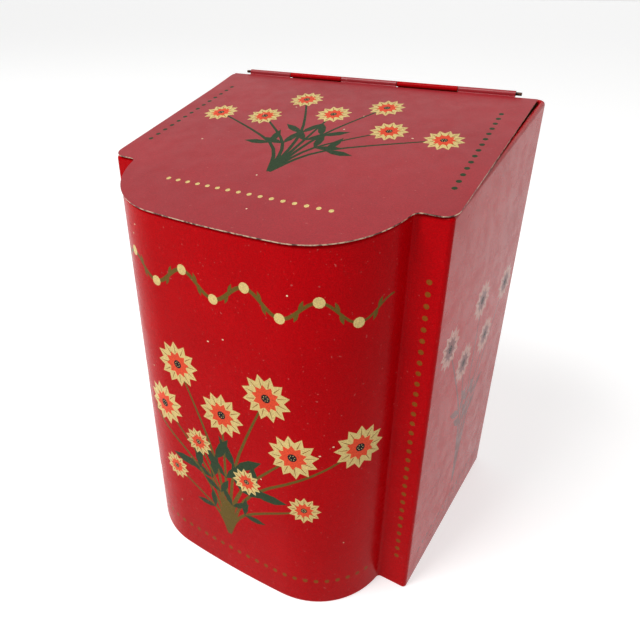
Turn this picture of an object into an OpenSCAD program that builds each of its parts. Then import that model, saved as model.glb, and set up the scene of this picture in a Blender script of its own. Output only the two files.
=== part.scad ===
// Bow-fronted tin box with a sloping lid that swings on a wire hinge.
// Modelled with the shoulder line of the front on Y = 0 and the standing face on Z = 0, then centred.

/* [Body] */
// Width across the front shoulders
front_w = 125; // [90:1:200]
// Width across the back
back_w = 140; // [100:1:220]
// Distance from the shoulder line to the back
side_depth = 84; // [55:1:140]
// Height of the rim at the shoulder line
front_h = 152; // [80:1:260]
// Height of the rim at the back
back_h = 172; // [90:1:290]
// Width of the flat shoulder beside the bow
shoulder_w = 11; // [8:0.5:20]
// How far the bow stands out from the shoulder line
bow_out = 26; // [15:1:38]
// Radius of the bow's nearly flat front
bow_front_r = 400; // [150:10:900]
// Radius of the bow's rounded corners
bow_corner_r = 31; // [15:1:40]

/* [Sheet metal] */
// Thickness of the tinplate
sheet = 0.4; // [0.3:0.05:0.6]
// Gap between folded layers
fold_gap = 0.05; // [0.03:0.01:0.1]
// Height of the hem round the base
hem_h = 2.5; // [1.5:0.1:5]
// Width of the curled rim
rim_w = 2.4; // [1.8:0.1:3]
// Depth of the curled rim's inner lip
rim_drop = 1.8; // [1.2:0.1:4]

/* [Bends] */
// Radius of the front corners
front_r = 1.6; // [0.8:0.1:4]
// Radius of the notches beside the bow
notch_r = 1.6; // [0.8:0.1:4]
// Radius of the back corners
back_r = 3; // [1:0.1:3.5]

/* [Back seams] */
// Width of the wrap's return on the back
return_w = 8; // [7:0.5:12]
// Width of each lock seam
seam_w = 3; // [2.4:0.1:4]

/* [Lid] */
// Overhang of the lid round the front
lid_over = 0.6; // [0.2:0.1:1.2]
// Width of the lid at the back
lid_back_w = 133; // [90:1:216]
// Radius of the lid's front corners
lid_front_r = 4; // [1:0.1:6]
// Radius of the lid's notches
lid_notch_r = 3.5; // [1.5:0.1:5]
// Gap between the closed lid and the rim
lid_gap = 0.3; // [0.1:0.05:0.6]

/* [Hinge] */
// Radius of the hinge wire
wire_r = 0.6; // [0.4:0.05:1]
// Running clearance round the wire
wire_clear = 0.05; // [0.02:0.01:0.09]
// How far the wire shows past the knuckles at each end
wire_out = 2; // [1:0.1:2.5]
// Distance from each back corner to the first knuckle
hinge_inset = 11; // [9.5:0.5:15]
// Width of each of the three middle knuckles
knuckle_w = 25; // [10:1:26]
// Gap between neighbouring knuckles
knuckle_gap = 0.3; // [0.2:0.05:0.5]
// Gap between the wall or lid and a knuckle that turns past it
swing_gap = 0.4; // [0.3:0.05:0.8]

/* [Hidden] */
$fn = 48;
front_steps = 6;
bow_steps = 20;
bend_steps = 6;
curl_angle = 300;
lap_angle = 6;
big = 4 * (back_w + side_depth + back_h);

red = [0.72, 0.04, 0.07];
lid_red = [0.66, 0.2, 0.2];
bare = [0.62, 0.58, 0.5];
dark = [0.2, 0.17, 0.15];

// Layers of the folded edges
pitch = sheet + fold_gap;
hem_w = 3 * sheet + 2 * fold_gap;
base_z = hem_h + fold_gap;
seam_low = base_z + sheet + 1;
seam_x = back_w / 2 - return_w;

// The lid's plane and the hinge axis
slope = atan((back_h - front_h) / side_depth);
knuckle_in = wire_r + wire_clear;
knuckle_out = knuckle_in + sheet;
hinge_y = side_depth - knuckle_out;
hinge_z = front_h + hinge_y * tan(slope) + (lid_gap + knuckle_out) / cos(slope);
hinge_w = back_w - 2 * hinge_inset;
wall_top = hinge_z - knuckle_out - swing_gap;
seam_high = back_h - (rim_w + hem_w + pitch) * tan(slope) - rim_drop - 1;
middle_y = (side_depth - bow_out - lid_over) / 2;

// Knuckles from left to right as [start, end]; the even places belong to the lid
end_w = (hinge_w - 3 * knuckle_w) / 2;
edges = [
    -hinge_w / 2,
    -hinge_w / 2 + end_w,
    -knuckle_w / 2,
    knuckle_w / 2,
    hinge_w / 2 - end_w,
    hinge_w / 2
];
lid_knuckles = [for (i = [0, 2, 4]) [edges[i], edges[i + 1]]];
body_knuckles = [for (i = [1, 3]) [edges[i], edges[i + 1]]];

function arc(c, r, a0, a1, steps) =
    [for (i = [0 : steps]) let (a = a0 + (a1 - a0) * i / steps) c + r * [cos(a), sin(a)]];

// A convex bend between two lines, sharp where the inset is deeper than the bend
function bend(c, r, a0, a1) = r > 0 ? arc(c, r, a0, a1, bend_steps) : [c];

// Right half of the outline, from the middle of the bow to the back corner, inset by d.
// half_f and half_b are the half widths at the shoulder line and at the line y_end.
function half_outline(d, half_f, half_b, y_end, r_front, r_notch, r_back) =
    let (
        chord = front_w / 2 - shoulder_w,
        bow_y = bow_front_r - bow_out,
        reach = bow_front_r - bow_corner_r,
        opposite = chord * chord + bow_y * bow_y + reach * reach - bow_corner_r * bow_corner_r,
        turn = atan2(chord, bow_y) - acos(opposite / (2 * reach * norm([chord, bow_y]))),
        bow_c = [reach * sin(turn), bow_y - reach * cos(turn)],
        notch_in = sqrt(pow(bow_corner_r + r_notch, 2) - pow(bow_c[1] + r_notch, 2)),
        notch_a = atan2(-r_notch - bow_c[1], notch_in),
        side_a = atan2(y_end, half_b - half_f),
        rf = max(r_front, d),
        rb = max(r_back, d),
        front_c = [half_f - rf * (1 - cos(side_a)) / sin(side_a), rf],
        back_c = [half_b - rb * (1 + cos(side_a)) / sin(side_a), y_end - rb]
    )
    concat(
        arc([0, bow_y], bow_front_r - d, -90, turn - 90, front_steps),
        arc(bow_c, bow_corner_r - d, turn - 90, notch_a, bow_steps),
        arc([bow_c[0] + notch_in, -r_notch], r_notch + d, notch_a + 180, 90, bend_steps),
        bend(front_c, rf - d, -90, side_a - 90),
        bend(back_c, rb - d, side_a - 90, 90)
    );

function body_half(d) =
    half_outline(d, front_w / 2, back_w / 2, side_depth, front_r, notch_r, back_r);

function lid_half() =
    half_outline(-lid_over, front_w / 2, lid_back_w / 2, side_depth, lid_front_r, lid_notch_r, 0);

function both_sides(half) =
    concat(half, [for (i = [len(half) - 1 : -1 : 1]) [-half[i][0], half[i][1]]]);

module ring(d0, d1) {
    difference() {
        polygon(both_sides(body_half(d0)));
        polygon(both_sides(body_half(d1)));
    }
}

module upright_ring(d0, d1, z0, z1) {
    translate([0, 0, z0]) linear_extrude(z1 - z0) ring(d0, d1);
}

// All that lies under the rim's plane raised by n
module under_rim(n) {
    translate([0, 0, front_h])
        rotate([slope, 0, 0])
        translate([-big / 2, -big / 2, n - big])
        cube([big, big, big]);
}

// A block between two corners
module block(lo, hi) {
    translate(lo) cube(hi - lo);
}

// Moves a piece so that the whole object is centred over the origin
module centred() {
    translate([0, -middle_y, 0]) children();
}

// The same piece on the right and on the left
module on_both_sides() {
    children();
    mirror([1, 0, 0]) children();
}

// The wrap's rim is curled inwards: a flat on the rim's plane and a short lip
module rim_curl() {
    difference() {
        intersection() {
            upright_ring(0, rim_w, front_h / 2, back_h + rim_w);
            under_rim(0);
        }
        under_rim(-sheet);
    }
    difference() {
        intersection() {
            upright_ring(rim_w - sheet, rim_w, front_h / 2, back_h + rim_w);
            under_rim(0);
        }
        under_rim(-rim_drop);
    }
}

module base_hem() {
    upright_ring(0, hem_w, 0, sheet);
    upright_ring(hem_w - sheet, hem_w, 0, hem_h);
}

// The wrap's half of the lock seam on the right
module wrap_hook() {
    block([seam_x, side_depth - 2 * pitch - sheet, seam_low],
          [seam_x + sheet, side_depth, seam_high]);
    block([seam_x, side_depth - 2 * pitch - sheet, seam_low],
          [seam_x + seam_w - pitch, side_depth - 2 * pitch, seam_high]);
}

module body_wrap() {
    color(red) centred() {
        difference() {
            union() {
                intersection() {
                    upright_ring(0, sheet, 0, back_h + rim_w);
                    under_rim(0);
                }
                rim_curl();
                base_hem();
            }
            block([-seam_x, side_depth - rim_w - back_r - 1, -1],
                  [seam_x, side_depth + 1, back_h + rim_w + 1]);
        }
        on_both_sides() wrap_hook();
    }
}

// The panel's half of the lock seam on the right
module panel_hook() {
    inner_y = side_depth - 3 * pitch - sheet;
    end_x = seam_x + seam_w;
    block([seam_x - pitch, inner_y, seam_low],
          [seam_x - fold_gap, side_depth, seam_high]);
    block([seam_x - pitch, inner_y, seam_low],
          [end_x, inner_y + sheet, seam_high]);
    block([end_x - sheet, inner_y, seam_low],
          [end_x, side_depth - pitch, seam_high]);
    block([seam_x + pitch, side_depth - pitch - sheet, seam_low],
          [end_x, side_depth - pitch, seam_high]);
}

// A sheet rolled round the hinge wire over the stretch span, from the angle start.
// It laps the flat sheet that it grows out of by lap_angle.
module curl(span, start) {
    translate([span[0] + knuckle_gap / 2, hinge_y, hinge_z])
        rotate([90, 0, 90])
        rotate([0, 0, start])
        rotate_extrude(angle = curl_angle)
        translate([knuckle_in, 0])
        square([sheet, span[1] - span[0] - knuckle_gap]);
}

module back_panel() {
    edge = seam_x - fold_gap;
    color(red) centred() {
        block([-edge, side_depth - sheet, 0], [edge, side_depth, wall_top]);
        block([-edge, side_depth - hem_w, 0], [edge, side_depth, sheet]);
        block([-edge, side_depth - hem_w, 0], [edge, side_depth - hem_w + sheet, hem_h]);
        on_both_sides() panel_hook();
        for (span = body_knuckles) {
            block([span[0] + knuckle_gap / 2, side_depth - sheet, wall_top - sheet],
                  [span[1] - knuckle_gap / 2, side_depth, hinge_z]);
            curl(span, -lap_angle);
        }
    }
}

module base_panel() {
    color(bare) centred() {
        upright_ring(pitch, pitch + sheet, pitch, base_z + sheet / 2);
        translate([0, 0, base_z])
            linear_extrude(sheet)
            polygon(both_sides(body_half(pitch)));
    }
}

// The lid's flat sheet lies parallel to the rim's plane
module lid_sheet() {
    plate_end = hinge_y - knuckle_out - swing_gap;
    difference() {
        intersection() {
            translate([0, 0, front_h / 2]) linear_extrude(back_h) polygon(both_sides(lid_half()));
            under_rim(lid_gap + sheet);
        }
        under_rim(lid_gap);
        block([-back_w, plate_end, 0], [back_w, side_depth + 1, 2 * back_h]);
    }
}

// Carries the lid's sheet on to one of its knuckles, and up to the level of the wire
module lid_tongue(span) {
    reach = 2 * swing_gap + sheet;
    width = span[1] - span[0] - knuckle_gap;
    translate([span[0] + knuckle_gap / 2, hinge_y, hinge_z])
        rotate([slope, 0, 0]) {
            translate([0, -knuckle_out - reach, -knuckle_out]) cube([width, reach + sheet, sheet]);
            translate([0, -knuckle_out, -knuckle_out]) cube([width, sheet, knuckle_out]);
        }
}

module lid_panel() {
    color(lid_red) centred() {
        lid_sheet();
        for (span = lid_knuckles) {
            lid_tongue(span);
            curl(span, slope + 180 + lap_angle - curl_angle);
        }
    }
}

module hinge_wire() {
    length = hinge_w + 2 * wire_out;
    color(dark) centred()
        translate([-length / 2, hinge_y, hinge_z])
        rotate([0, 90, 0])
        cylinder(r = wire_r, h = length);
}

body_wrap();
back_panel();
base_panel();
lid_panel();
hinge_wire();
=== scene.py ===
"""Looks of the bow-fronted tin: each sheet of tinplate is a bent shell whose printed face is cut
along its artwork, so that every ink is a stretch of metal with its own procedural material.
Lengths are millimetres up to the moment a mesh is made. Y = 0 is the shoulder line of the front."""

import random
from math import acos, atan2, ceil, cos, degrees, pi, radians, sin, sqrt, tan

import bpy
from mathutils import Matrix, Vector
from mathutils.geometry import delaunay_2d_cdt


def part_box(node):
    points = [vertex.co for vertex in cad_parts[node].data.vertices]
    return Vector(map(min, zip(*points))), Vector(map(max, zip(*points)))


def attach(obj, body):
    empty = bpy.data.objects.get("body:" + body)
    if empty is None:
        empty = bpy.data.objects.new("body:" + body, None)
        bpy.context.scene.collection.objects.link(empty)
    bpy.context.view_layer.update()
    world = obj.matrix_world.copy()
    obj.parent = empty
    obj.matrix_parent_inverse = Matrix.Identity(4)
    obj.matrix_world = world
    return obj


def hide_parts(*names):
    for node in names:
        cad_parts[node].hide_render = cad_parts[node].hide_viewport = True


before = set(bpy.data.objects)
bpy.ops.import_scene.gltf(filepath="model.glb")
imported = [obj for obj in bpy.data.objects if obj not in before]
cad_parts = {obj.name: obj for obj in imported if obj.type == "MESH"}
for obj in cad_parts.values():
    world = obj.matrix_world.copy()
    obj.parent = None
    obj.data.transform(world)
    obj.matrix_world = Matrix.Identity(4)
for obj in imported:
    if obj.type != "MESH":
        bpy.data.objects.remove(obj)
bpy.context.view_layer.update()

MM = 0.001

# The tin's driving sizes, as the part has them
FRONT_W = 125
BACK_W = 140
DEPTH = 84
FRONT_H = 152
BACK_H = 172
SHOULDER_W = 11
BOW_OUT = 26
BOW_FRONT_R = 400
BOW_CORNER_R = 31
SHEET = 0.4
PITCH = 0.45
HEM_H = 2.5
FRONT_R = 1.6
NOTCH_R = 1.6
BACK_R = 3
RETURN_W = 8
SEAM_W = 3
LID_OVER = 0.6
LID_BACK_W = 133
LID_FRONT_R = 4
LID_NOTCH_R = 3.5
LID_GAP = 0.3
KNUCKLE_R = 1.05
SWING_GAP = 0.4
HINGE_INSET = 11
KNUCKLE_W = 25
KNUCKLE_GAP = 0.3

# What follows from them
SLOPE = atan2(BACK_H - FRONT_H, DEPTH)
UP_Y, UP_Z = cos(SLOPE), sin(SLOPE)
HINGE_Y = DEPTH - KNUCKLE_R
HINGE_Z = FRONT_H + HINGE_Y * tan(SLOPE) + (LID_GAP + KNUCKLE_R) / cos(SLOPE)
HINGE_W = BACK_W - 2 * HINGE_INSET
WALL_TOP = HINGE_Z - KNUCKLE_R - SWING_GAP
SEAM_X = BACK_W / 2 - RETURN_W
SEAM_LOW = HEM_H + PITCH + 1
SEAM_HIGH = 168
BASE_Z = HEM_H + PITCH - SHEET
SHIFT_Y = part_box("back_panel")[1].y / MM - DEPTH

# Bends of the skins
CURL_R = 1.1
CURL_TURN = radians(170)
HEM_R = 0.65
FOLD_R = 0.45
TAB_BEND_R = 0.3
ROLL_TURN = radians(294)
ROW_STEP = radians(20)
BOW_STEP = 2.0


class Path:
    """A plan curve of lines and arcs, followed by its arc length. Its printed side is on the right."""

    def __init__(self):
        self.parts = []
        self.corners = []
        self.length = 0

    def add(self, length, at, steps):
        self.parts.append((self.length, length, at, steps))
        self.length += length

    def line(self, a, b):
        a, b = Vector(a), Vector(b)
        way = (b - a).normalized()
        self.add((b - a).length, lambda s: (a + way * s, way), 1)

    def arc(self, centre, radius, start, end):
        centre, turn = Vector(centre), 1 if end > start else -1
        length = radius * radians(abs(end - start))

        def at(s):
            a = radians(start) + turn * s / radius
            return centre + radius * Vector((cos(a), sin(a))), turn * Vector((-sin(a), cos(a)))

        self.add(length, at, max(ceil(length / BOW_STEP), ceil(abs(end - start) / 15)))

    def corner(self, centre, radius, start, end):
        """A bend between two sides, which end at a mitre where they are moved in past its radius."""
        self.corners.append((self.length, radius * radians(end - start), radius, radians(end - start)))
        self.arc(centre, radius, start, end)

    def at(self, s):
        for start, length, at, _ in self.parts:
            if s <= start + length:
                break
        return at(s - start)

    def stations(self):
        found = [start + length * i / steps for start, length, _, steps in self.parts for i in range(steps)]
        return found + [self.length]


def front_half(path, d, half_f, r_front, r_notch):
    """The right half of the front, from the middle of the bow round the front corner, inset by d.
    Returns where the side begins and the angle at which it runs back."""
    chord = FRONT_W / 2 - SHOULDER_W
    bow_y = BOW_FRONT_R - BOW_OUT
    reach = BOW_FRONT_R - BOW_CORNER_R
    opposite = chord * chord + bow_y * bow_y + reach * reach - BOW_CORNER_R * BOW_CORNER_R
    turn = atan2(chord, bow_y) - acos(opposite / (2 * reach * sqrt(chord * chord + bow_y * bow_y)))
    bow_c = Vector((reach * sin(turn), bow_y - reach * cos(turn)))
    notch_in = sqrt((BOW_CORNER_R + r_notch) ** 2 - (bow_c.y + r_notch) ** 2)
    notch_a = degrees(atan2(-r_notch - bow_c.y, notch_in))
    path.arc((0, bow_y), BOW_FRONT_R - d, -90, degrees(turn) - 90)
    path.arc(bow_c, BOW_CORNER_R - d, degrees(turn) - 90, notch_a)
    path.arc((bow_c.x + notch_in, -r_notch), r_notch + d, notch_a + 180, 90)
    side = atan2(DEPTH, half_f[1] - half_f[0])
    corner = Vector((half_f[0] - r_front * (1 - cos(side)) / sin(side), r_front))
    path.line((bow_c.x + notch_in, d), (corner.x, d))
    path.corner(corner, r_front - d, -90, degrees(side) - 90)
    return corner + (r_front - d) * Vector((sin(side), -cos(side))), side


def mirrored(stations):
    return [-s for s in reversed(stations) if s > 0] + list(stations)


def at_both(path, s):
    """The point and the outward direction at arc length s; minus s is the mirrored left side."""
    p, way = path.at(abs(s))
    out = Vector((way.y, -way.x))
    if s < 0:
        p, out = Vector((-p.x, p.y)), Vector((-out.x, out.y))
    return p, out


def rim_z(y):
    return FRONT_H + y * tan(SLOPE)


def raised(p, z):
    return Vector((p.x, p.y, z))


def level(out, along, up):
    return Vector((out.x * along, out.y * along, up))


# --- Artwork: outlines on a flat panel, in millimetres ---


def curve(points, steps):
    """A smooth open line through the points."""
    last = len(points) - 1
    out = []
    for i in range(last):
        p = [Vector(points[min(max(i + k, 0), last)]) for k in (-1, 0, 1, 2)]
        for j in range(steps):
            t = j / steps
            a = 2 * p[1] + t * (p[2] - p[0])
            b = t * t * (2 * p[0] - 5 * p[1] + 4 * p[2] - p[3])
            c = t * t * t * (3 * p[1] - p[0] - 3 * p[2] + p[3])
            out.append(tuple((a + b + c) / 2))
    return out + [tuple(points[-1])]


def stroke(points, widths, steps=5):
    """A tapered band along a smooth line."""
    line = [Vector(p) for p in curve(points, steps)]
    left, right = [], []
    for i, p in enumerate(line):
        way = (line[min(i + 1, len(line) - 1)] - line[max(i - 1, 0)]).normalized()
        t = i / (len(line) - 1) * (len(widths) - 1)
        k = min(int(t), len(widths) - 2)
        half = (widths[k] + (widths[k + 1] - widths[k]) * (t - k)) / 2
        side = Vector((-way.y, way.x)) * half
        left.append(tuple(p + side))
        right.append(tuple(p - side))
    return right + left[::-1]


def moved(points, place, turn):
    c, s = cos(radians(turn)), sin(radians(turn))
    return [(place[0] + c * x - s * y, place[1] + s * x + c * y) for x, y in points]


class Art:
    """The figures of one panel, each an ink and an outline, later ones over earlier ones."""

    def __init__(self, fit=lambda x, y: (x, y)):
        self.figures = []
        self.fit = fit

    def add(self, ink, points):
        points = [self.fit(x, y) for x, y in points]
        pairs = zip(points, points[1:] + points[:1])
        area = sum(x0 * y1 - x1 * y0 for (x0, y0), (x1, y1) in pairs)
        self.figures.append((ink, points if area > 0 else points[::-1]))


# --- Shells of sheet metal ---


def shell(name, body, stands_for, domain, cuts, art, place, inks):
    """A bent sheet. domain is its flat outline, cuts are polylines that the mesh follows at the bends,
    and place gives the point and the normal of the printed face over a flat point."""
    points, edges, faces = [], [], []

    def ring(outline):
        first = len(points)
        points.extend(Vector(p) for p in outline)
        return list(range(first, len(points)))

    faces.append(ring(domain))
    for cut in cuts:
        r = ring(cut)
        edges.extend(zip(r, r[1:]))
    for _, outline in art.figures:
        faces.append(ring(outline))
    flat, _, made, _, _, origins = delaunay_2d_cdt(points, edges, faces, 0, 1e-4, True)

    triangles, colours = [], []
    for triangle, origin in zip(made, origins):
        if 0 not in origin:
            continue
        a, b, c = (flat[i] for i in triangle)
        turn = (b - a).cross(c - a)
        if abs(turn) < 1e-7:
            continue
        triangles.append(tuple(triangle) if turn > 0 else tuple(reversed(triangle)))
        top = max(origin)
        colours.append(inks.index(art.figures[top - 1][0]) if top else 0)

    used = sorted({i for t in triangles for i in t})
    new = {old: i for i, old in enumerate(used)}
    triangles = [tuple(new[i] for i in t) for t in triangles]
    placed = [place(flat[i].x, flat[i].y) for i in used]
    n = len(placed)
    vertices = [p for p, _ in placed] + [p - q * SHEET for p, q in placed]
    open_edges = {(t[i], t[(i + 1) % 3]) for t in triangles for i in range(3)}
    open_edges = sorted(e for e in open_edges if (e[1], e[0]) not in open_edges)

    faces = list(triangles)
    faces += [(c + n, b + n, a + n) for a, b, c in triangles]
    faces += [(b, a, a + n, b + n) for a, b in open_edges]
    mesh = bpy.data.meshes.new(name)
    mesh.from_pydata([raised(v, v.z) * MM + Vector((0, SHIFT_Y * MM, 0)) for v in vertices], [], faces)
    for ink in inks + ["inside", "cut_edge"]:
        mesh.materials.append(materials[ink])
    count = len(triangles)
    colours += [len(inks)] * count + [len(inks) + 1] * len(open_edges)
    mesh.polygons.foreach_set("material_index", colours)
    mesh.polygons.foreach_set("use_smooth", [True] * len(faces))
    normals = []
    for polygon in mesh.polygons:
        if polygon.index < count:
            normals += [placed[v][1] for v in polygon.vertices]
        elif polygon.index < 2 * count:
            normals += [-placed[v - n][1] for v in polygon.vertices]
        else:
            normals += [polygon.normal] * len(polygon.vertices)
    mesh.normals_split_custom_set([tuple(q) for q in normals])
    piece = bpy.data.objects.new(name, mesh)
    bpy.context.scene.collection.objects.link(piece)
    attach(piece, body)
    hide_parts(*stands_for)
    return piece


# --- Materials ---

materials = {}


def tone(red, green, blue):
    """A colour given as it looks on screen, 0 to 255, as the shader's linear colour."""
    linear = [c / 255 / 12.92 if c < 11 else ((c / 255 + 0.055) / 1.055) ** 2.4 for c in (red, green, blue)]
    return (*linear, 1)


class Surface:
    """A principled material with short calls for the few nodes that these finishes need."""

    def __init__(self, name, roughness=0.4, specular=0.4, metallic=0.0):
        material = bpy.data.materials.new(name)
        material.use_nodes = True
        self.tree = material.node_tree
        self.shader = self.tree.nodes["Principled BSDF"]
        self.shader.inputs["Roughness"].default_value = roughness
        self.shader.inputs["Specular IOR Level"].default_value = specular
        self.shader.inputs["Metallic"].default_value = metallic
        self.place = self.node("ShaderNodeTexCoord").outputs["Object"]
        materials[name] = material

    def node(self, kind, **settings):
        made = self.tree.nodes.new(kind)
        for key, value in settings.items():
            setattr(made, key, value)
        return made

    def wire(self, value, socket):
        if isinstance(value, bpy.types.NodeSocket):
            self.tree.links.new(value, socket)
        else:
            socket.default_value = value

    def noise(self, size, detail=2.0, stretch=None):
        """Noise from 0 to 1 with features of that many millimetres."""
        made = self.node("ShaderNodeTexNoise")
        place = self.place
        if stretch:
            place = self.node("ShaderNodeMapping").outputs["Vector"]
            self.wire(self.place, place.node.inputs["Vector"])
            place.node.inputs["Scale"].default_value = stretch
        self.wire(place, made.inputs["Vector"])
        made.inputs["Scale"].default_value = 1 / (size * MM)
        made.inputs["Detail"].default_value = detail
        return made.outputs["Fac"]

    def spread(self, value, low, high, to_low=0.0, to_high=1.0):
        made = self.node("ShaderNodeMapRange")
        self.wire(value, made.inputs["Value"])
        for socket, limit in zip(("From Min", "From Max", "To Min", "To Max"), (low, high, to_low, to_high)):
            made.inputs[socket].default_value = limit
        return made.outputs["Result"]

    def maths(self, operation, a, b):
        made = self.node("ShaderNodeMath", operation=operation)
        self.wire(a, made.inputs[0])
        self.wire(b, made.inputs[1])
        return made.outputs[0]

    def mix(self, factor, a, b, how="MIX"):
        made = self.node("ShaderNodeMix", data_type="RGBA", blend_type=how)
        self.wire(factor, made.inputs["Factor"])
        self.wire(a, made.inputs["A"])
        self.wire(b, made.inputs["B"])
        return made.outputs["Result"]

    def bump(self, height, distance):
        made = self.node("ShaderNodeBump")
        made.inputs["Distance"].default_value = distance * MM
        self.wire(height, made.inputs["Height"])
        self.wire(made.outputs["Normal"], self.shader.inputs["Normal"])

    def finish(self, colour, roughness):
        self.wire(colour, self.shader.inputs["Base Color"])
        self.wire(roughness, self.shader.inputs["Roughness"])


def printed(name, colour, worn=0.5, roughness=0.26, specular=0.03):
    """One litho ink: an even film with fine grain, dust specks and grime."""
    s = Surface(name, specular=specular)
    grain = s.spread(s.noise(0.4, 3), 0.3, 0.7, 0.76, 1.16)
    broad = s.spread(s.noise(28, 2), 0.3, 0.7, 0.93, 1.06)
    colour = s.mix(1.0, colour, s.maths("MULTIPLY", grain, broad), "MULTIPLY")
    dust = s.spread(s.noise(1.1, 1), 0.74 - 0.03 * worn, 0.8, 0, 0.4 * worn)
    colour = s.mix(dust, colour, tone(205, 150, 140))
    grime = s.spread(s.noise(2.6, 4), 0.66, 0.8, 0, 0.35 * worn)
    colour = s.mix(grime, colour, tone(60, 25, 22))
    rough = s.spread(s.noise(6, 4), 0.3, 0.7, roughness - 0.05, roughness + 0.07)
    s.bump(s.maths("ADD", s.noise(0.7, 2), s.maths("MULTIPLY", s.noise(22, 1), 6.0)), 0.012)
    s.finish(colour, rough)


RED = tone(176, 0, 8)
LID_RED = tone(158, 26, 36)
CREAM = tone(214, 190, 124)
GOLD = tone(140, 74, 22)
OLIVE = tone(104, 84, 34)
GREEN = tone(48, 66, 44)
DARK = tone(28, 30, 34)
CORAL = tone(222, 76, 48)
PALE = tone(226, 206, 170)


def make_inks():
    printed("red", RED)
    printed("side_red", RED, specular=0.16)
    printed("lid_red", LID_RED, roughness=0.42, specular=0.45)
    printed("cream", CREAM, worn=0.35)
    printed("gold", GOLD, worn=0.4)
    printed("olive", OLIVE, worn=0.4)
    printed("green", GREEN, worn=0.4)
    printed("black", DARK, worn=0.3)
    printed("coral", CORAL, worn=0.4)
    printed("pale", PALE, worn=0.6)
    # The side's two inks are the print dulled and paled with painted reflection haze, the sheen the side
    # shows at a grazing view.
    printed("side_ink_painted_haze", tone(122, 50, 48), specular=0.16)
    printed("side_petal_painted_haze", tone(196, 140, 128), specular=0.16)


def make_metals():
    s = Surface("inside", metallic=0.75, specular=0.5)
    blotch = s.spread(s.noise(14, 5), 0.35, 0.65)
    colour = s.mix(blotch, tone(150, 128, 84), tone(176, 156, 112))
    colour = s.mix(s.spread(s.noise(1.4, 4), 0.62, 0.76, 0, 0.7), colour, tone(92, 60, 36))
    s.bump(s.noise(1.2, 3), 0.02)
    s.finish(colour, s.spread(s.noise(5, 4), 0.3, 0.7, 0.34, 0.55))

    s = Surface("tinplate", metallic=0.85, specular=0.5)
    streaks = s.spread(s.noise(3, 4, (0.15, 1.0, 1.0)), 0.3, 0.7)
    colour = s.mix(streaks, tone(158, 150, 138), tone(196, 188, 172))
    colour = s.mix(s.spread(s.noise(2.2, 6), 0.6, 0.74, 0, 0.8), colour, tone(96, 62, 42))
    s.bump(s.noise(0.9, 3), 0.015)
    s.finish(colour, s.spread(s.noise(4, 4), 0.3, 0.7, 0.3, 0.5))

    s = Surface("cut_edge", metallic=0.5, specular=0.5)
    colour = s.mix(s.spread(s.noise(1.5, 5), 0.4, 0.56), tone(70, 48, 42), tone(198, 168, 142))
    s.finish(colour, s.spread(s.noise(1.0, 2), 0.3, 0.7, 0.35, 0.6))

    s = Surface("wire", metallic=0.9, specular=0.5)
    colour = s.mix(s.spread(s.noise(1.1, 5), 0.45, 0.6), tone(44, 38, 36), tone(92, 58, 40))
    s.bump(s.noise(0.5, 3), 0.03)
    s.finish(colour, s.spread(s.noise(0.8, 3), 0.3, 0.7, 0.38, 0.62))

    s = Surface("floor", specular=0.2)
    s.shader.inputs["Emission Color"].default_value = (1, 1, 1, 1)
    s.shader.inputs["Emission Strength"].default_value = 0.62
    s.finish(s.mix(s.noise(60, 3), tone(196, 196, 195), tone(202, 202, 201)), 0.6)


make_inks()
make_metals()


# --- The wrap: front, shoulders, sides and the returns on the back ---

wrap = Path()
side_start, side_angle = front_half(wrap, 0, (FRONT_W / 2, BACK_W / 2), FRONT_R, NOTCH_R)
SIDE_S = wrap.length
back_corner = Vector((BACK_W / 2 - BACK_R * (1 + cos(side_angle)) / sin(side_angle), DEPTH - BACK_R))
wrap.line(side_start, back_corner + BACK_R * Vector((sin(side_angle), -cos(side_angle))))
wrap.corner(back_corner, BACK_R, degrees(side_angle) - 90, 90)
fold_x = SEAM_X + FOLD_R
wrap.line((back_corner.x, DEPTH), (fold_x, DEPTH))
WALL_S = wrap.length
hook_y = DEPTH - 2 * PITCH - SHEET
wrap.arc((fold_x, DEPTH - FOLD_R), FOLD_R, 90, 180)
wrap.line((SEAM_X, DEPTH - FOLD_R), (SEAM_X, hook_y + FOLD_R))
wrap.arc((fold_x, hook_y + FOLD_R), FOLD_R, 180, 270)
wrap.line((fold_x, hook_y), (SEAM_X + SEAM_W - PITCH, hook_y))


def inset_point(path, s, d):
    """The point at arc length s, moved in by d, and the outward direction there. Two sides that meet
    at a bend tighter than d end at their mitre."""
    p, out = at_both(path, s)
    for start, length, radius, bend in path.corners:
        lap = (d - radius) * tan(bend / 2)
        if lap > 0 and start - lap < abs(s) < start + length + lap:
            middle, way = path.at(start + length / 2)
            outward = Vector((way.y, -way.x))
            mitre = middle - outward * (radius + (d - radius) / cos(bend / 2))
            return Vector((mitre.x if s > 0 else -mitre.x, mitre.y)), out
    return p - out * d, out


HEM_LOW = HEM_R - pi * HEM_R - (HEM_H - HEM_R)


def hemmed(s, v, path):
    """The folded hem at the foot of a wall, for v under the hem's radius."""
    run = HEM_R - v
    turn = min(run / HEM_R, pi)
    p, out = inset_point(path, s, HEM_R * (1 - cos(turn)))
    z = HEM_R - HEM_R * sin(turn) + max(run - pi * HEM_R, 0)
    return raised(p, z), level(out, cos(turn), -sin(turn))


def place_wrap(s, v):
    p, out = at_both(wrap, s)
    turn = (v - rim_z(p.y) + CURL_R) / CURL_R
    if turn > 0 and abs(s) < WALL_S + 0.01:
        p, out = inset_point(wrap, s, CURL_R * (1 - cos(turn)))
        z = rim_z(p.y) - CURL_R + CURL_R * sin(turn)
        return raised(p, z), level(out, cos(turn), sin(turn))
    if v < HEM_R:
        return hemmed(s, v, wrap)
    return raised(p, v), level(out, 1, 0)


def steps(start, end, step):
    n = max(ceil(abs(end - start) / step), 1)
    return [start + (end - start) * i / n for i in range(n + 1)]


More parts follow.
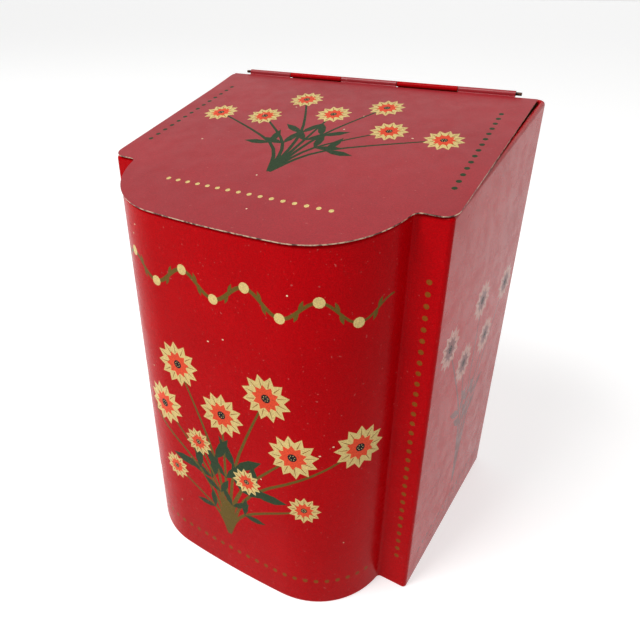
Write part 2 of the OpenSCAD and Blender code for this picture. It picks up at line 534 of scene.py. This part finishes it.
def wrap_rows(s):
    """Where the wrap's mesh follows the hem and the curl, at one station."""
    top = rim_z(at_both(wrap, s)[0].y) - CURL_R
    low = [HEM_LOW] + [HEM_R - HEM_R * a for a in steps(pi, 0, ROW_STEP)]
    return low + [top + CURL_R * a for a in steps(0, CURL_TURN, ROW_STEP)]


wall_stations = mirrored([s for s in wrap.stations() if s <= WALL_S + 0.001])
hook_stations = [s for s in wrap.stations() if s > WALL_S + 0.001]
columns = [[(s, v) for v in wrap_rows(s)] for s in wall_stations]
wrap_domain = [c[0] for c in columns]
wrap_domain += [(WALL_S, SEAM_LOW)] + [(s, SEAM_LOW) for s in hook_stations]
wrap_domain += [(s, SEAM_HIGH) for s in reversed(hook_stations)] + [(WALL_S, SEAM_HIGH)]
wrap_domain += [c[-1] for c in reversed(columns)]
wrap_domain += [(-WALL_S, SEAM_HIGH)] + [(-s, SEAM_HIGH) for s in hook_stations]
wrap_domain += [(-s, SEAM_LOW) for s in reversed(hook_stations)] + [(-WALL_S, SEAM_LOW)]
wrap_cuts = columns + [list(row) for row in zip(*columns)]
wrap_cuts += [[(k * s, SEAM_LOW), (k * s, SEAM_HIGH)] for s in hook_stations for k in (-1, 1)]


# --- The back panel, with its two knuckles rolled forwards over the wire ---

panel = Path()
edge_x = SEAM_X + SHEET - PITCH
tight = PITCH - SHEET
panel.line((0, DEPTH), (FOLD_R - edge_x, DEPTH))
PANEL_S = panel.length
inner_y = DEPTH - 3 * PITCH
far_x = SEAM_X + SEAM_W - SHEET
outer_y = DEPTH - PITCH - SHEET
panel.arc((FOLD_R - edge_x, DEPTH - FOLD_R), FOLD_R, 90, 180)
panel.line((-edge_x, DEPTH - FOLD_R), (-edge_x, inner_y + tight))
panel.arc((-edge_x - tight, inner_y + tight), tight, 0, -90)
panel.line((-edge_x - tight, inner_y), (tight - far_x, inner_y))
panel.arc((tight - far_x, inner_y + tight), tight, 270, 180)
panel.line((-far_x, inner_y + tight), (-far_x, outer_y - tight))
panel.arc((tight - far_x, outer_y - tight), tight, 180, 90)
panel.line((tight - far_x, outer_y), (-SEAM_X - PITCH, outer_y))

end_w = (HINGE_W - 3 * KNUCKLE_W) / 2
ends = [-HINGE_W / 2, end_w - HINGE_W / 2, -KNUCKLE_W / 2, KNUCKLE_W / 2, HINGE_W / 2 - end_w, HINGE_W / 2]
knuckles = [(a + KNUCKLE_GAP / 2, b - KNUCKLE_GAP / 2) for a, b in zip(ends, ends[1:])]
lid_knuckles, body_knuckles = knuckles[0::2], knuckles[1::2]


def place_panel(s, v):
    if v < HEM_R and abs(s) <= PANEL_S + 0.001:
        return hemmed(s, v, panel)
    p, out = at_both(panel, s)
    if v > HINGE_Z:
        turn = (v - HINGE_Z) / KNUCKLE_R
        return (Vector((p.x, HINGE_Y + KNUCKLE_R * cos(turn), HINGE_Z + KNUCKLE_R * sin(turn))),
                Vector((0, cos(turn), sin(turn))))
    return raised(p, v), level(out, 1, 0)


def tabs(spans, low, high):
    """The outline of tabs that stand on an edge, from the right to the left."""
    return [p for a, b in sorted(spans, reverse=True) for p in ((b, low), (b, high), (a, high), (a, low))]


ROLL_ROWS = steps(0, ROLL_TURN, ROW_STEP)
roll_top = HINGE_Z + KNUCKLE_R * ROLL_TURN
hem_rows = [HEM_R - HEM_R * a for a in steps(pi, 0, ROW_STEP)]
panel_hooks = [s for s in panel.stations() if s > PANEL_S + 0.001]
panel_domain = [(-PANEL_S, HEM_LOW), (PANEL_S, HEM_LOW), (PANEL_S, SEAM_LOW)]
panel_domain += [(s, SEAM_LOW) for s in panel_hooks] + [(s, SEAM_HIGH) for s in reversed(panel_hooks)]
panel_domain += [(PANEL_S, SEAM_HIGH), (PANEL_S, WALL_TOP)] + tabs(body_knuckles, WALL_TOP, roll_top)
panel_domain += [(-PANEL_S, WALL_TOP), (-PANEL_S, SEAM_HIGH)] + [(-s, SEAM_HIGH) for s in panel_hooks]
panel_domain += [(-s, SEAM_LOW) for s in reversed(panel_hooks)] + [(-PANEL_S, SEAM_LOW)]
panel_cuts = [[(-PANEL_S, v), (PANEL_S, v)] for v in hem_rows]
panel_cuts += [[(k * s, SEAM_LOW), (k * s, SEAM_HIGH)] for s in [PANEL_S] + panel_hooks for k in (-1, 1)]
panel_cuts += [[(a, HINGE_Z + KNUCKLE_R * t), (b, HINGE_Z + KNUCKLE_R * t)]
               for a, b in body_knuckles for t in ROLL_ROWS]


# --- The lid: a flat sheet with three knuckles that turn up and roll back over the wire ---

LID_LEVEL = SHEET - KNUCKLE_R
HINGE_Q = HINGE_Y * UP_Y + (HINGE_Z - FRONT_H) * UP_Z
FLAT_END = -KNUCKLE_R - TAB_BEND_R
lid_rise = LID_GAP + SHEET


def lid_q(y):
    """The distance up the slope of a point of the lid's printed face, from its plan distance."""
    return (y + lid_rise * UP_Z) / UP_Y


def place_lid(x, q):
    run = q - HINGE_Q - FLAT_END
    rise = -LID_LEVEL - TAB_BEND_R
    bent = run - TAB_BEND_R * pi / 2
    if run < 0:
        y, z, turn = q - HINGE_Q, LID_LEVEL, pi / 2
    elif bent < 0:
        turn = pi / 2 + run / TAB_BEND_R
        y = FLAT_END - TAB_BEND_R * cos(turn)
        z = LID_LEVEL + TAB_BEND_R * (1 - sin(turn))
    elif bent < rise:
        y, z, turn = -KNUCKLE_R, LID_LEVEL + TAB_BEND_R + bent, pi
    else:
        turn = pi - (bent - rise) / KNUCKLE_R
        y, z = KNUCKLE_R * cos(turn), KNUCKLE_R * sin(turn)
    ny, nz = cos(turn), sin(turn)
    return (Vector((x, HINGE_Y + y * UP_Y - z * UP_Z, HINGE_Z + y * UP_Z + z * UP_Y)),
            Vector((0, ny * UP_Y - nz * UP_Z, ny * UP_Z + nz * UP_Y)))


lid_path = Path()
lid_side, lid_angle = front_half(lid_path, -LID_OVER, (FRONT_W / 2, LID_BACK_W / 2), LID_FRONT_R, LID_NOTCH_R)
plate_end = HINGE_Y - KNUCKLE_R - SWING_GAP
lid_path.line(lid_side, lid_side + Vector((1 / tan(lid_angle), 1)) * (plate_end - lid_side.y))
lid_half = [at_both(lid_path, s)[0] for s in mirrored(lid_path.stations())]
lid_outline = [(p.x, lid_q(p.y)) for p in lid_half]
tab_low = lid_q(plate_end)
bend_rows = [HINGE_Q + FLAT_END + TAB_BEND_R * t for t in steps(0, pi / 2, ROW_STEP)]
roll_low = bend_rows[-1] - LID_LEVEL - TAB_BEND_R
tab_rows = bend_rows + [roll_low + KNUCKLE_R * t for t in ROLL_ROWS]
lid_domain = lid_outline + tabs(lid_knuckles, tab_low, tab_rows[-1])
lid_cuts = [[(a, q), (b, q)] for a, b in lid_knuckles for q in tab_rows]


# --- Artwork of each panel ---

front_art = Art()
panel_art = Art()
lid_art = Art(lambda x, y: (x, lid_q(y)))


ROOT_H = 20
BORDER_H = 12
DOT_R = 0.9
LID_DOT_R = 0.8


def around(n, start=0.0):
    """n angles spread evenly from start."""
    return [start + 360 * i / n for i in range(n)]


def oval(x, y, rx, ry, n=12):
    return [(x + rx * cos(radians(a)), y + ry * sin(radians(a))) for a in around(n)]


def lens(x, y, length, width, turn):
    """A leaf or petal that starts at x, y."""
    half = [(0, 0), (0.3, 0.42), (0.62, 0.46), (1, 0)]
    shape = [(a * length, b * width) for a, b in half] + [(a * length, -b * width) for a, b in half[2:0:-1]]
    return moved(shape, (x, y), turn)


def row(art, ink, start, end, count, r=DOT_R):
    """Dots spaced evenly from start to end."""
    start, end = Vector(start), Vector(end)
    for i in range(count):
        x, y = start.lerp(end, i / (count - 1))
        art.add(ink, oval(x, y, r, r))


def flower(art, x, y, r, light="cream", warm="coral", turn=0.0):
    """A round garden flower: two rings of petals and a dark eye."""
    for a in around(12, turn):
        c, s = cos(radians(a)), sin(radians(a))
        art.add(light, lens(x, y, r, r * 0.52, a))
        art.add("gold", stroke([(x + 0.5 * r * c, y + 0.5 * r * s), (x + 0.85 * r * c, y + 0.85 * r * s)],
                               [0.35, 0.12], 2))
    for a in around(10, turn + 12):
        art.add(warm, lens(x, y, r * 0.58, r * 0.32, a))
    art.add("black", oval(x, y, r * 0.18, r * 0.18))
    for a in around(6, turn):
        art.add(light, oval(x + 0.1 * r * cos(radians(a)), y + 0.1 * r * sin(radians(a)), 0.2, 0.2, n=5))


def spray(art, x, y, reach, stems, spread, size, stem="olive", leaf="green", light="cream", warm="coral"):
    """Stems that fan out evenly from one root, each with paired leaves and a flower at its tip."""
    for i in range(stems):
        a = spread * (0.5 - i / (stems - 1))
        length = reach * (1 - 0.22 * (i % 2))
        tip = (x + length * sin(radians(a)), y + length * cos(radians(a)))
        middle = (x + 0.24 * length * sin(radians(a)), y + 0.5 * length * cos(radians(a)))
        art.add(stem, stroke([(x, y), middle, tip], [1.6, 1.2, 0.6]))
        for k in (-1, 1):
            art.add(leaf, lens(middle[0], middle[1], size * 1.5, size * 0.45, 90 - a + 42 * k))
        flower(art, tip[0], tip[1], size, light, warm, 9 * i)


def garland(art, ink, start, end, height, swing, count):
    """A wavy line with a dot at each crest and trough and leaves between them."""
    step = (end - start) / count
    line = [(start + step * i / 4, height + swing * cos(pi * i / 4)) for i in range(4 * count + 1)]
    art.add(ink, stroke(line, [0.6, 1.3, 1.3, 0.6], 2))
    for x, y in line[4:-1:4]:
        art.add("cream", oval(x, y, 1.8, 1.8))
    for i, (x, y) in enumerate(line[2::4]):
        for k in (-1, 1):
            art.add(ink, lens(x, y, 4, 1.3, 90 * k + 20 * (-1) ** i))


def specks(art, seed, low, high, count):
    """Places where the print is knocked off."""
    draw = random.Random(seed)
    for i in range(count):
        x, y = draw.uniform(low[0], high[0]), draw.uniform(low[1], high[1])
        art.add("pale", oval(x, y, draw.uniform(0.25, 0.5), 0.3, n=5))


def draw_front(art):
    spray(art, 0, ROOT_H, 74, 7, 84, 9)
    spray(art, 0, ROOT_H, 42, 4, 96, 6)
    garland(art, "olive", -58, 58, 126, 3.5, 10)
    row(art, "gold", (-56, BORDER_H), (56, BORDER_H), 29)
    for x in (-70, 70):
        row(art, "gold", (x, 16), (x, 132), 30)
    specks(art, 3, (-60, 20), (60, 140), 16)


def draw_side(art, k):
    """A spray on one side, in inks dulled and paled with painted reflection haze; k is 1 on the right side
    and -1 on the left.
    """
    side = Art(lambda y, z: (k * (SIDE_S + (y - FRONT_R) / sin(side_angle)), z))
    side.add("side_red", [(FRONT_R, -9), (DEPTH - BACK_R, -9), (DEPTH - BACK_R, 190), (FRONT_R, 190)])
    # Painted reflection haze: the side's stems, leaves and petals take the hazed inks instead of olive,
    # green, cream and coral.
    spray(side, DEPTH / 2, ROOT_H, 88, 5, 38, 8, "side_ink_painted_haze", "side_ink_painted_haze", "side_petal_painted_haze", "side_ink_painted_haze")
    row(side, "side_ink_painted_haze", (10, BORDER_H), (DEPTH - 10, BORDER_H), 17)
    art.figures += side.figures


def draw_back(art):
    spray(art, 0, ROOT_H, 100, 7, 60, 8)
    row(art, "gold", (-54, BORDER_H), (54, BORDER_H), 28)


def draw_lid(art):
    spray(art, 0, 6, 58, 7, 104, 7, "green", "green")
    row(art, "cream", (-30, -8), (30, -8), 16, LID_DOT_R)
    for x in (-58, 58):
        row(art, "green", (x, 14), (x, 66), 14)
    specks(art, 5, (-40, -16), (40, 60), 8)


draw_front(front_art)
draw_side(front_art, 1)
draw_side(front_art, -1)
draw_back(panel_art)
draw_lid(lid_art)


# --- Pieces ---

PRINTED = ["red", "side_red", "cream", "gold", "olive", "green", "black", "coral", "pale", "side_ink_painted_haze", "side_petal_painted_haze"]
LID_INKS = ["lid_red", "cream", "gold", "olive", "green", "black", "coral", "pale"]
shell("body_wrap_skin", "tin", ["body_wrap"],
      wrap_domain, wrap_cuts, front_art, place_wrap, PRINTED)
shell("back_panel_skin", "tin", ["back_panel"],
      panel_domain, panel_cuts, panel_art, place_panel, PRINTED)
shell("lid_skin", "lid", ["lid_panel"],
      lid_domain, lid_cuts, lid_art, place_lid, LID_INKS)


def base_skin():
    """The pressed base: a flange down inside the hem, a bend, a raised bead and a flat middle."""
    top = BASE_Z + SHEET
    profile = [(PITCH, PITCH), (PITCH, top - 0.5), (PITCH + 0.15, top - 0.15), (PITCH + 0.5, top)]
    bead = [(7 + 3 * t / 8, top + 0.25 * (1 - cos(2 * pi * t / 8))) for t in range(9)]
    rings = [[raised(inset_point(wrap, s, d)[0], z) for s in wall_stations] for d, z in profile + bead]
    n = len(wall_stations)
    faces = [(k * n + i, k * n + (i + 1) % n, (k + 1) * n + (i + 1) % n, (k + 1) * n + i)
             for k in range(len(rings) - 1) for i in range(n)]
    faces.append(tuple((len(rings) - 1) * n + i for i in range(n)))
    mesh = bpy.data.meshes.new("base_panel_skin")
    shift = Vector((0, SHIFT_Y, 0))
    mesh.from_pydata([(p + shift) * MM for ring in rings for p in ring], [], faces)
    mesh.materials.append(materials["tinplate"])
    mesh.shade_smooth()
    mesh.set_sharp_from_angle(angle=radians(50))
    piece = bpy.data.objects.new("base_panel_skin", mesh)
    bpy.context.scene.collection.objects.link(piece)
    metal = piece.modifiers.new("sheet", "SOLIDIFY")
    metal.thickness = SHEET * MM
    metal.offset = -1
    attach(piece, "tin")
    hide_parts("base_panel")


base_skin()
for hinge_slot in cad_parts["hinge_wire"].material_slots:
    hinge_slot.material = materials["wire"]
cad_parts["hinge_wire"].data.shade_smooth()


# --- Studio ---

def area_light(name, place, aim, size, power):
    light = bpy.data.lights.new(name, "AREA")
    light.size = size
    light.energy = power
    holder = bpy.data.objects.new(name, light)
    bpy.context.scene.collection.objects.link(holder)
    holder.location = place
    holder.rotation_euler = (Vector(aim) - Vector(place)).to_track_quat("-Z", "Y").to_euler()


def studio():
    mesh = bpy.data.meshes.new("floor")
    half = 40
    corners = [(-half, -half, 0), (half, -half, 0), (half, half, 0), (-half, half, 0)]
    mesh.from_pydata(corners, [], [(0, 1, 2, 3)])
    mesh.materials.append(materials["floor"])
    floor = bpy.data.objects.new("floor", mesh)
    bpy.context.scene.collection.objects.link(floor)

    world = bpy.data.worlds.new("studio")
    world.use_nodes = True
    tree = world.node_tree
    split = tree.nodes.new("ShaderNodeSeparateXYZ")
    tree.links.new(tree.nodes.new("ShaderNodeTexCoord").outputs["Generated"], split.inputs[0])
    glow = tree.nodes.new("ShaderNodeMapRange")
    for socket, limit in zip(("From Min", "From Max", "To Min", "To Max"), (-0.3, 0.8, 0.16, 0.85)):
        glow.inputs[socket].default_value = limit
    tree.links.new(split.outputs["Y"], glow.inputs["Value"])
    tree.links.new(glow.outputs["Result"], tree.nodes["Background"].inputs["Strength"])
    tree.nodes["Background"].inputs["Color"].default_value = (1, 1, 1, 1)
    bpy.context.scene.world = world
    area_light("key", (-0.55, -0.85, 1.4), (0, 0, 0.08), 0.7, 24)

    lens = bpy.data.cameras.new("camera")
    lens.sensor_width = 36
    lens.lens = 31.19
    lens.shift_x = 0.0234
    lens.shift_y = -0.0859
    lens.clip_start = 0.01
    camera = bpy.data.objects.new("camera", lens)
    bpy.context.scene.collection.objects.link(camera)
    camera.location = (0.0957, -0.1679, 0.2053)
    camera.rotation_euler = (radians(64.01), radians(-0.49), radians(29.67))
    bpy.context.scene.camera = camera
    bpy.context.scene.view_settings.view_transform = "Standard"


studio()
